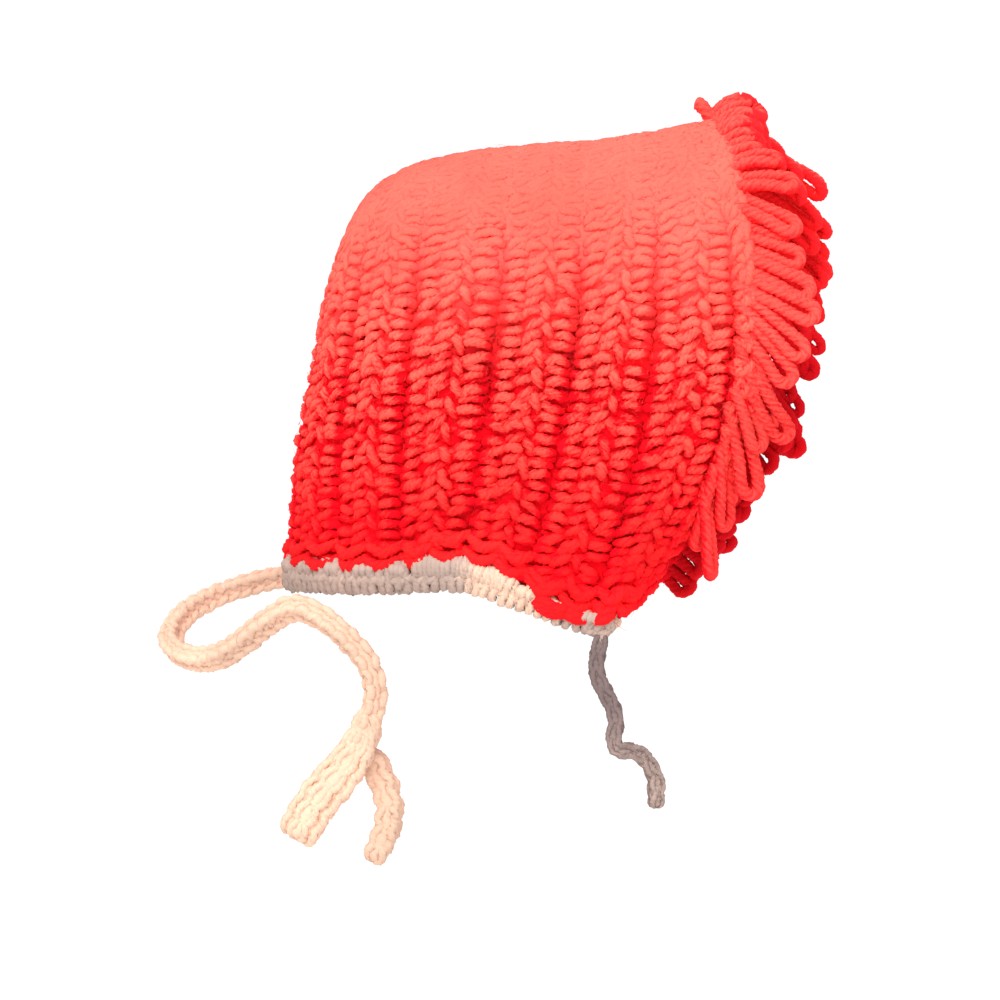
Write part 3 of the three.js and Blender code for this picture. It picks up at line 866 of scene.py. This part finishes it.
class BONNET_OT_hood_ribs(bpy.types.Operator):
    """Works the ribs' stitches over the hood, from neck edge to neck edge"""

    bl_idname = "bonnet.hood_ribs"
    bl_label = "Hood Ribs"

    # The rows on the near side where the coral edge lies higher, and how much.
    RAISED_EDGE = ((5.6, 6.6, 8.4, 9.4), (0.0, 0.018, 0.022, 0.0))
    # Where the near front corner's last courses lap over the band: the row and how far under the neck edge.
    LAPS = ((9.88, 0.003), (9.82, 0.010), (9.76, 0.016), (10.64, 0.003), (10.58, 0.009), (11.40, 0.003))
    # The strands that turn at a row's end: the place along in rows, how far over the neck edge, the height
    # over the hood's face in millimetres and the thickness, and how far they stray.
    SCALLOPS = (
        ((-0.56, 0.024, -2.6, 1.0), (-0.34, 0.014, -1.2, 1.2), (-0.02, 0.006, -0.7, 1.45),
         (0.31, 0.015, -1.2, 1.2), (0.54, 0.024, -2.6, 1.0)),
        ((-0.54, 0.046, -2.4, 1.0), (-0.28, 0.040, -1.0, 1.2), (0.02, 0.030, -0.6, 1.35),
         (0.30, 0.040, -1.0, 1.2), (0.54, 0.048, -2.4, 1.0)),
    )
    SCALLOP_STRAY = (0.03, 0.003, 0.2)
    LAP = ((-0.52, 0.010, -1.6, 1.0), (-0.30, 0.003, -0.1, 1.15), (0.00, 0.000, 0.3, 1.25),
           (0.30, 0.003, -0.1, 1.15), (0.52, 0.010, -1.6, 1.0))

    def execute(self, context):
        settings = context.scene.bonnet_yarn
        for number, rows in enumerate(RIBS):
            yarn = Yarn(20 + number)
            span = (0.007, 0.5) if rows[0] < 0 else (0.007, 0.993)
            work_stitches(yarn, RIB_STITCH, rows, sum(rows) / 2, settings, span=span)
            self.scallops(yarn, rows, settings.strand)
            self.laps(yarn, rows, settings.strand)
            piece = yarn.piece(f"rib_{number}_stitches", coral_wool(), "coral_yarn")
            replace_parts(piece, "crown")
        yarn = Yarn(40)
        work_stitches(yarn, EDGE_STITCH, (13, 14), 13.6, settings)
        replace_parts(yarn.piece("edge_row_stitches", coral_wool(), "coral_yarn"), "crown")
        return {"FINISHED"}

    def scallops(self, yarn, rows, strand):
        """Works the turning loop at each row's end, which scallops the neck edge."""
        for side in (1.0,) if rows[0] < 0 else (1.0, -1.0):
            for centre in (rows[0] + 0.5, rows[0] + 1.5):
                raised = np.interp(side * centre, *self.RAISED_EDGE)
                for shape in self.SCALLOPS:
                    shift = yarn.random.normal(0, 1, 3) * self.SCALLOP_STRAY
                    row, over, height, thick = drawn(shape, 12)
                    down = side * (1 - raised - shift[1] - over)
                    self.lay(yarn, centre + shift[0] + row, down, height + shift[2], strand * thick, 0.72)

    def laps(self, yarn, rows, strand):
        """Works the strands that lap over the band at the near front corner."""
        row, over, height, thick = drawn(self.LAP, 12)
        for centre, lower in self.LAPS:
            if rows[0] <= centre < rows[1]:
                self.lay(yarn, centre + row, 1 + lower - over, height, strand * thick, 0.70)

    def lay(self, yarn, row, down, height, radii, crest):
        """Lays one strand on the hood, at a height in millimetres."""
        paths, outward = over_hood(row[None], down[None], height[None] * MM)
        yarn.sweep(paths, radii[None], outward, 12, crest=crest)


class BONNET_OT_hood_lining(bpy.types.Operator):
    """Works the stitches that show inside the hood"""

    bl_idname = "bonnet.hood_lining"
    bl_label = "Hood Inside"

    def execute(self, context):
        settings = context.scene.bonnet_yarn
        yarn = Yarn(50)
        for row in range(1, LAST_ROW):
            work_stitches(yarn, LINING_STITCH, (row, row + 1), row + 0.5, settings, inside=True)
        for rows in ((-1, 0), (0, 1)):
            work_stitches(yarn, LINING_STITCH, rows, 0.0, settings, inside=True, span=(0.0, 0.5))
        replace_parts(yarn.piece("inside_stitches", coral_wool(), "coral_yarn"), "crown")
        return {"FINISHED"}


# Looped edging

# Half of a loop: the share of its length and the sideways place in strand widths.
LOOP_HALF = ((-0.18, 0.40), (0.15, 0.47), (0.50, 0.50), (0.78, 0.62), (0.94, 0.52), (1.00, 0.00))


class BONNET_OT_looped_edging(bpy.types.Operator):
    """Hangs the free yarn loops round the face edge"""

    bl_idname = "bonnet.looped_edging"
    bl_label = "Looped Edging"

    SPACING = 0.0062
    SIDES = 16
    STEPS = 46
    TWIST = 0.0088
    ROOT_ROW = 13.75
    ROOT_HEIGHT = -0.0022
    DIRECTION_ROW = 13.9
    FULL_CURL = math.radians(130)
    # Where a second row of loops hangs between those of the first.
    DOUBLED = (-0.5, -0.06)
    # How far a loop strays in thickness, length, lift, droop, roll and curl; the angles are in degrees.
    STRAY = (0.04, 0.07, 5, 5, 10, 0.15)
    # The crest at places down the edge: the loops on the far side lie in the shade of the hood.
    CREST = ((-0.8, -0.5, -0.36, -0.34), (0.40, 0.52, 0.66, 0.76))

    def execute(self, context):
        settings = context.scene.bonnet_yarn
        yarn = Yarn(60)
        downs, lengths, _ = course(LAST_ROW)
        near, far = np.interp([-LAST_LOOP_DOWN[1], -LAST_LOOP_DOWN[0]], -downs, lengths)
        count = round((far - near) / self.SPACING) + 1
        places = np.interp(np.linspace(near, far, count), lengths, downs)
        between = (places[1:] + places[:-1]) / 2
        between = between[(between > self.DOUBLED[0]) & (between < self.DOUBLED[1])]
        for down in np.concatenate([places, between, FAR_CORNER_LOOPS]):
            self.loop(yarn, down, settings)
        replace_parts(yarn.piece("edging_loops", loop_wool(), "coral_loop_yarn"), "fringe")
        return {"FINISHED"}

    def loop(self, yarn, down, settings):
        """Hangs one loop at a place down the face edge."""
        stray = yarn.random.normal(0, 1, 6) * settings.uneven * self.STRAY
        table = np.array(LOOP_LINES).T
        length, lift, droop, curl = (np.interp(down, table[0], column) for column in table[1:])
        length = length * MM * (1 + stray[1])
        lift, droop, roll = np.radians((lift + stray[2], droop + stray[3], stray[4]))
        radius = settings.loop_strand * (1 + stray[0])
        forward, along, outward = hood_frame(self.DIRECTION_ROW, down)
        downward = along * (1 if down >= 0 else -1)
        level = forward * math.cos(droop) + downward * math.sin(droop)
        start = level * math.cos(lift) + outward * math.sin(lift)
        inwards = unit(level * math.sin(lift) - outward * math.cos(lift))
        flat = unit(np.cross(start, inwards)) * math.cos(roll) + outward * math.sin(roll)
        half = np.array(LOOP_HALF)
        share, beside = drawn(np.concatenate([half, (half * (1, -1))[-2::-1]]), self.STEPS)
        turn = np.clip(share, 0, 1) * curl * (1 + stray[5]) * self.FULL_CURL
        ahead = share * np.sinc(turn / math.pi)
        fall = share * np.sinc(turn / math.tau) * np.sin(turn / 2)
        root = over_hood(self.ROOT_ROW, down, np.array(self.ROOT_HEIGHT))[0]
        line = root + length * (ahead[:, None] * start + fall[:, None] * inwards)
        line = line + flat * (beside * 2 * radius)[:, None]
        radii = np.full((1, self.STEPS), radius)
        up = np.broadcast_to(-inwards, line.shape)
        crest = np.interp(down, *self.CREST) + stray[0]
        yarn.sweep(line[None], radii, up[None], self.SIDES, depth=0.11, crest=crest, twist=self.TWIST,
                   rough=0.03, shade=0.80, furrow_shade=0.20)


class BONNET_OT_yarn_end(bpy.types.Operator):
    """Leaves the short cut end of yarn that stands up at the top of the face edge"""

    bl_idname = "bonnet.yarn_end"
    bl_label = "Yarn End"

    # The end's points from its root, its radius and the steps along it.
    SHAPE = ((0.0012, 0.0, -0.0030), (0.0004, 0.0, 0.0000), (-0.0012, -0.0003, 0.0024),
             (-0.0030, -0.0006, 0.0042), (-0.0044, -0.0008, 0.0048))
    RADIUS = 0.0021
    STEPS = 20

    def execute(self, context):
        yarn = Yarn(61)
        root = hood_points(13.6, 0.02)
        line = root + drawn(self.SHAPE, self.STEPS).T
        thinned = 1 - np.linspace(-0.2, 1, self.STEPS) ** 10
        radii = self.RADIUS * np.sqrt(np.clip(thinned, 0.05, 1))
        up = np.broadcast_to((0.0, -1.0, 0.0), line.shape)
        yarn.sweep(line[None], radii[None], up[None], 16, crest=0.85, shade=0.3)
        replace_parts(yarn.piece("yarn_end", loop_wool(), "coral_loop_yarn"), "fringe")
        return {"FINISHED"}


# Neck band


class BONNET_OT_neck_band(bpy.types.Operator):
    """Works the cream band along the neck edge"""

    bl_idname = "bonnet.neck_band"
    bl_label = "Neck Band"

    LAST_BAND_ROW = 12
    BACK_HEIGHT = 0.0066
    END_HEIGHT = 0.0036
    THICKNESS = 0.0054
    PITCH = 0.0056
    READINGS = 400
    RADIUS = 0.00155
    # The crest, low so that the band takes the greyed colour of painted shade, and how much it rises between
    # two rows on the near side, as painted light.
    BAND_SHADE_CREST = 0.12
    LIT_RISE = 0.60
    LIT_ROWS = (6.6, 10.8)
    # The strands of a stitch: the place along in stitches, the drop as a share of the band's height, the
    # depth under its face in millimetres and the thickness, and how far each strays.
    STRANDS = (
        ((-0.26, 1.02, 4.2, 0.8), (-0.27, 1.05, 2.6, 1.05), (-0.26, 0.72, 1.9, 1.15),
         (-0.24, 0.30, 1.9, 1.15), (-0.20, 0.00, 1.8, 1.1), (-0.16, -0.36, 2.4, 0.9)),
        ((0.22, 1.02, 4.2, 0.8), (0.22, 1.04, 2.6, 1.05), (0.24, 0.74, 2.0, 1.1), (0.23, 0.34, 2.0, 1.1),
         (0.18, 0.02, 1.9, 1.1), (0.12, -0.34, 2.5, 0.9)),
        ((-0.10, 1.02, 2.8, 0.8), (-0.18, 0.96, 4.2, 1.0), (-0.10, 0.60, 4.8, 1.05),
         (0.06, 0.20, 4.8, 1.0), (0.10, 0.00, 4.0, 0.7)),
    )
    STRAY = (0.04, 0.04, 0.12)
    # A tooth's strand, in the same columns but with its place along in rows, and where teeth stand in a gap.
    TOOTH = ((-0.02, 0.60, 2.4, 0.9), (0.0, 0.20, 1.3, 1.1), (0.02, -0.25, 0.9, 1.15),
             (0.04, -0.62, 1.6, 1.0), (0.05, -0.85, 3.6, 0.7))
    TOOTH_RADIUS = 0.0014
    ASIDES = (-0.13, 0.02, 0.16)
    TALL_ASIDES = (-0.42, -0.27, 0.31, 0.45)
    TALL_GAPS = (6, 7, 8)
    TALL_REACH = 0.80
    # The strands of a tie's root: how far in from the band's end, and the shares of the band's height.
    ROOT_ASIDES = (0.1, 0.5, 0.9)
    ROOT_DROPS = (0.2, 0.6, 1.0)
    ROOT_DEPTH = 0.0024

    def shade_and_light_crest(self, row):
        """The crest along the band: painted shade greys its yarn, save for painted light where the near neck
        edge slopes down in front.
        """
        rise = np.clip(row - self.LIT_ROWS[0], 0, 1)
        fall = np.clip(self.LIT_ROWS[1] - row, 0, 1)
        return self.BAND_SHADE_CREST + self.LIT_RISE * rise * fall

    def height(self, row):
        return self.BACK_HEIGHT + (self.END_HEIGHT - self.BACK_HEIGHT) * (row / self.LAST_BAND_ROW) ** 2

    def ring(self, row, drop, depth):
        """Points on the band: drop under the neck edge as a share of its height, depth under its face."""
        forward, _, outward = hood_frame(np.abs(row), np.where(row < 0, -1.0, 1.0))
        downward = np.cross(outward, forward)
        downward = downward * np.sign(downward[..., 2:3] * -1)
        lower = downward * (drop * self.height(row))[..., None]
        return neck_edge(row) + lower - outward * depth[..., None], outward

    def execute(self, context):
        yarn = Yarn(70)
        rows = np.linspace(-self.LAST_BAND_ROW, self.LAST_BAND_ROW, self.READINGS)
        self.core(yarn, rows[::3])
        lengths = lengths_along(neck_edge(rows))
        count = round(lengths[-1] / self.PITCH)
        pitch = lengths[-1] / count
        for table in map(np.array, self.STRANDS):
            stray = yarn.random.normal(0, 1, (count, len(table), 3)) * self.STRAY
            along, drop, depth, thick = repeated(table, stray, 11)
            row = np.interp((along + np.arange(count)[:, None] + 0.5) * pitch, lengths, rows)
            paths, outward = self.ring(row, drop, depth * MM)
            scale = (0.55 + 0.45 * self.height(row) / self.BACK_HEIGHT) * self.RADIUS
            yarn.sweep(paths, scale * thick, outward, 8, crest=self.shade_and_light_crest(row))
        self.teeth(yarn)
        self.tie_roots(yarn)
        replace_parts(yarn.piece("neck_band_stitches", band_wool(), "cream_yarn"), "neck_band")
        return {"FINISHED"}

    def core(self, yarn, rows):
        """Fills the band behind its stitches."""
        core, outward = self.ring(rows, np.full(rows.shape, 0.5), np.full(rows.shape, self.THICKNESS / 2))
        radii = self.height(rows) * 0.40
        yarn.sweep(core[None], radii[None], outward[None], 10, crest=self.shade_and_light_crest(rows[None]))

    def teeth(self, yarn):
        """Works the strands that reach up between the hood's scallops, further in the tall gaps."""
        table = np.array(self.TOOTH)
        along, _, depth, thick = drawn(table, 10)
        for aside in self.ASIDES + self.TALL_ASIDES:
            gaps = np.arange(1 - self.LAST_BAND_ROW, self.LAST_BAND_ROW)
            if aside in self.TALL_ASIDES:
                gaps = np.array(self.TALL_GAPS)
            reach = yarn.random.uniform(0.0, 0.10, (len(gaps), 1))
            reach = reach + self.TALL_REACH * (1 - 0.9 * abs(aside)) * np.isin(gaps, self.TALL_GAPS)[:, None]
            row = gaps[:, None] + aside + yarn.random.normal(0, 0.03, (len(gaps), 1)) + along
            drop = (table[:, 1] * np.where(table[:, 1] < 0, reach, 1)) @ smooth_steps(len(table), 10).T
            paths, outward = self.ring(row, drop, depth * MM)
            radii = np.broadcast_to(self.TOOTH_RADIUS * thick, row.shape)
            yarn.sweep(paths, radii, outward, 8, crest=self.shade_and_light_crest(row))

    def tie_roots(self, yarn):
        """Works the strands that gather each end of the band into its tie."""
        for side, route, reach in ((1, NEAR_TIE_ROUTE, 0.0022), (-1, FAR_TIE_ROUTE, 0.0030)):
            start, after = np.array(route[:2])
            ahead = unit(after - start)
            for aside in self.ROOT_ASIDES:
                row = np.full(3, side * (self.LAST_BAND_ROW - aside))
                top = self.ring(row, np.array(self.ROOT_DROPS), np.full(3, self.ROOT_DEPTH))[0]
                line = smooth_steps(5, 14) @ np.vstack([top, start - ahead * 0.0004, start + ahead * reach])
                radii = np.full((1, 14), self.TOOTH_RADIUS + 0.0002 * side)
                up = np.broadcast_to((0.0, -side, 0.0), line.shape)
                yarn.sweep(line[None], radii, up[None], 8, crest=self.BAND_SHADE_CREST)


# Stray fibres


class BONNET_OT_stray_fibres(bpy.types.Operator):
    """Stands fine fibres off the hood's yarn"""

    bl_idname = "bonnet.stray_fibres"
    bl_label = "Stray Fibres"

    # A fibre's least length, how much more it may have, its steps and its radius at its root and its tip.
    LEAST_LENGTH = 0.0014
    MEAN_MORE = 0.0009
    MOST_MORE = 0.006
    STEPS = 4
    RADII = (0.00008, 0.00004)

    def execute(self, context):
        count = context.scene.bonnet_yarn.fibres
        yarn = Yarn(80)
        random = yarn.random
        row = random.uniform(-0.9, LAST_ROW, count)
        down = random.uniform(-1.0, 1.0, count)
        down = np.where(row < 0, np.abs(down), down)
        root, outward = over_hood(row, down, random.uniform(-0.0018, -0.0003, count))
        sideways = unit(np.cross(outward, unit(random.normal(0, 1, (count, 3)))))
        turned = np.cross(outward, sideways)
        root, outward, sideways, turned = (values[:, None] for values in (root, outward, sideways, turned))
        more = random.exponential(self.MEAN_MORE, count).clip(0, self.MOST_MORE)
        length = (self.LEAST_LENGTH + more)[:, None, None]
        t = np.linspace(0, 1, self.STEPS)[None, :, None]
        lean = random.uniform(0.75, 1.2, (count, 1, 1))
        bend = random.normal(0, 0.35, (count, 1, 1))
        shape = outward * (1.15 - lean) * t * (1.8 - t) + sideways * lean * t + turned * bend * t * t
        line = root + length * shape
        radii = np.broadcast_to(np.linspace(*self.RADII, self.STEPS), (count, self.STEPS))
        yarn.sweep(line, radii, np.broadcast_to(turned, line.shape), 3, depth=0, rough=0)
        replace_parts(yarn.piece("stray_fibres", coral_wool(), "coral_yarn"), "crown")
        return {"FINISHED"}


# Stage


class BONNET_OT_stage(bpy.types.Operator):
    """Sets the floor, the backdrop, the light and the camera"""

    bl_idname = "bonnet.stage"
    bl_label = "Stage"

    FLOOR_SIZE = 6.0
    FLOOR_COLOUR = (0.93, 0.93, 0.93)
    SKY_STRENGTH = 1.10
    LAMP_PLACE = (-0.10, -0.80, 0.70)
    LAMP_TARGET = (0.0, 0.0, -0.08)
    LAMP_SIZE = 0.8
    LAMP_POWER = 12.0

    def execute(self, context):
        settings = context.scene.bonnet_stage
        self.floor(settings)
        self.lights(context.scene)
        self.camera(context.scene, settings)
        context.scene.view_settings.view_transform = "Standard"
        return {"FINISHED"}

    def floor(self, settings):
        bpy.ops.object.select_all(action="DESELECT")
        bpy.ops.mesh.primitive_plane_add(size=self.FLOOR_SIZE, location=(0, 0, settings.floor))
        floor = bpy.context.active_object
        floor.name = "floor"
        bpy.ops.object.transform_apply(location=True, rotation=True, scale=True)
        floor.data.materials.append(stage_paint("pale_floor", self.FLOOR_COLOUR))
        floor.select_set(False)

    def lights(self, scene):
        world = bpy.data.worlds.new("studio")
        world.use_nodes = True
        sky = world.node_tree.nodes["Background"].inputs
        sky["Color"].default_value = (1.0, 1.0, 1.0, 1)
        sky["Strength"].default_value = self.SKY_STRENGTH
        scene.world = world
        lamp = bpy.data.lights.new("top_light", "AREA")
        lamp.size = self.LAMP_SIZE
        lamp.energy = self.LAMP_POWER
        ahead = Vector(self.LAMP_TARGET) - Vector(self.LAMP_PLACE)
        self.put_up(scene, lamp, self.LAMP_PLACE, ahead.to_track_quat("-Z", "Y"))

    def camera(self, scene, settings):
        azimuth, elevation = settings.azimuth, settings.elevation
        level = math.cos(elevation)
        back = Vector((math.sin(azimuth) * level, -math.cos(azimuth) * level, math.sin(elevation)))
        camera = bpy.data.cameras.new("camera")
        camera.sensor_width = 36.0
        camera.lens = settings.lens
        camera.clip_start = 0.01
        place = Vector(settings.target) + back * settings.distance
        scene.camera = self.put_up(scene, camera, place, back.to_track_quat("Z", "Y"))

    def put_up(self, scene, data, place, turn):
        """Puts a lamp or a camera at its place, turned as given."""
        made = bpy.data.objects.new(data.name, data)
        scene.collection.objects.link(made)
        made.location = place
        made.rotation_euler = turn.to_euler()
        return made


OPERATORS = (
    BONNET_OT_near_tie,
    BONNET_OT_far_tie,
    BONNET_OT_hood_cloth,
    BONNET_OT_hood_ribs,
    BONNET_OT_hood_lining,
    BONNET_OT_looped_edging,
    BONNET_OT_yarn_end,
    BONNET_OT_neck_band,
    BONNET_OT_stray_fibres,
    BONNET_OT_stage,
)


class BONNET_PT_panel(bpy.types.Panel):
    """Lists the bonnet's settings and steps"""

    bl_label = "Bonnet"
    bl_idname = "BONNET_PT_panel"
    bl_space_type = "VIEW_3D"
    bl_region_type = "UI"
    bl_category = "Bonnet"

    def draw(self, context):
        layout = self.layout
        for settings in (context.scene.bonnet_yarn, context.scene.bonnet_stage):
            box = layout.box()
            for name in settings.__annotations__:
                box.prop(settings, name)
        for operator in OPERATORS:
            layout.operator(operator.bl_idname)


CLASSES = (YarnSettings, StageSettings, *OPERATORS, BONNET_PT_panel)


def register():
    for cls in CLASSES:
        bpy.utils.register_class(cls)
    bpy.types.Scene.bonnet_yarn = bpy.props.PointerProperty(type=YarnSettings)
    bpy.types.Scene.bonnet_stage = bpy.props.PointerProperty(type=StageSettings)


def unregister():
    del bpy.types.Scene.bonnet_stage
    del bpy.types.Scene.bonnet_yarn
    for cls in reversed(CLASSES):
        bpy.utils.unregister_class(cls)


def main():
    register()
    for operator in OPERATORS:
        getattr(bpy.ops.bonnet, operator.bl_idname.split(".")[1])()


if __name__ == "__main__":
    main()
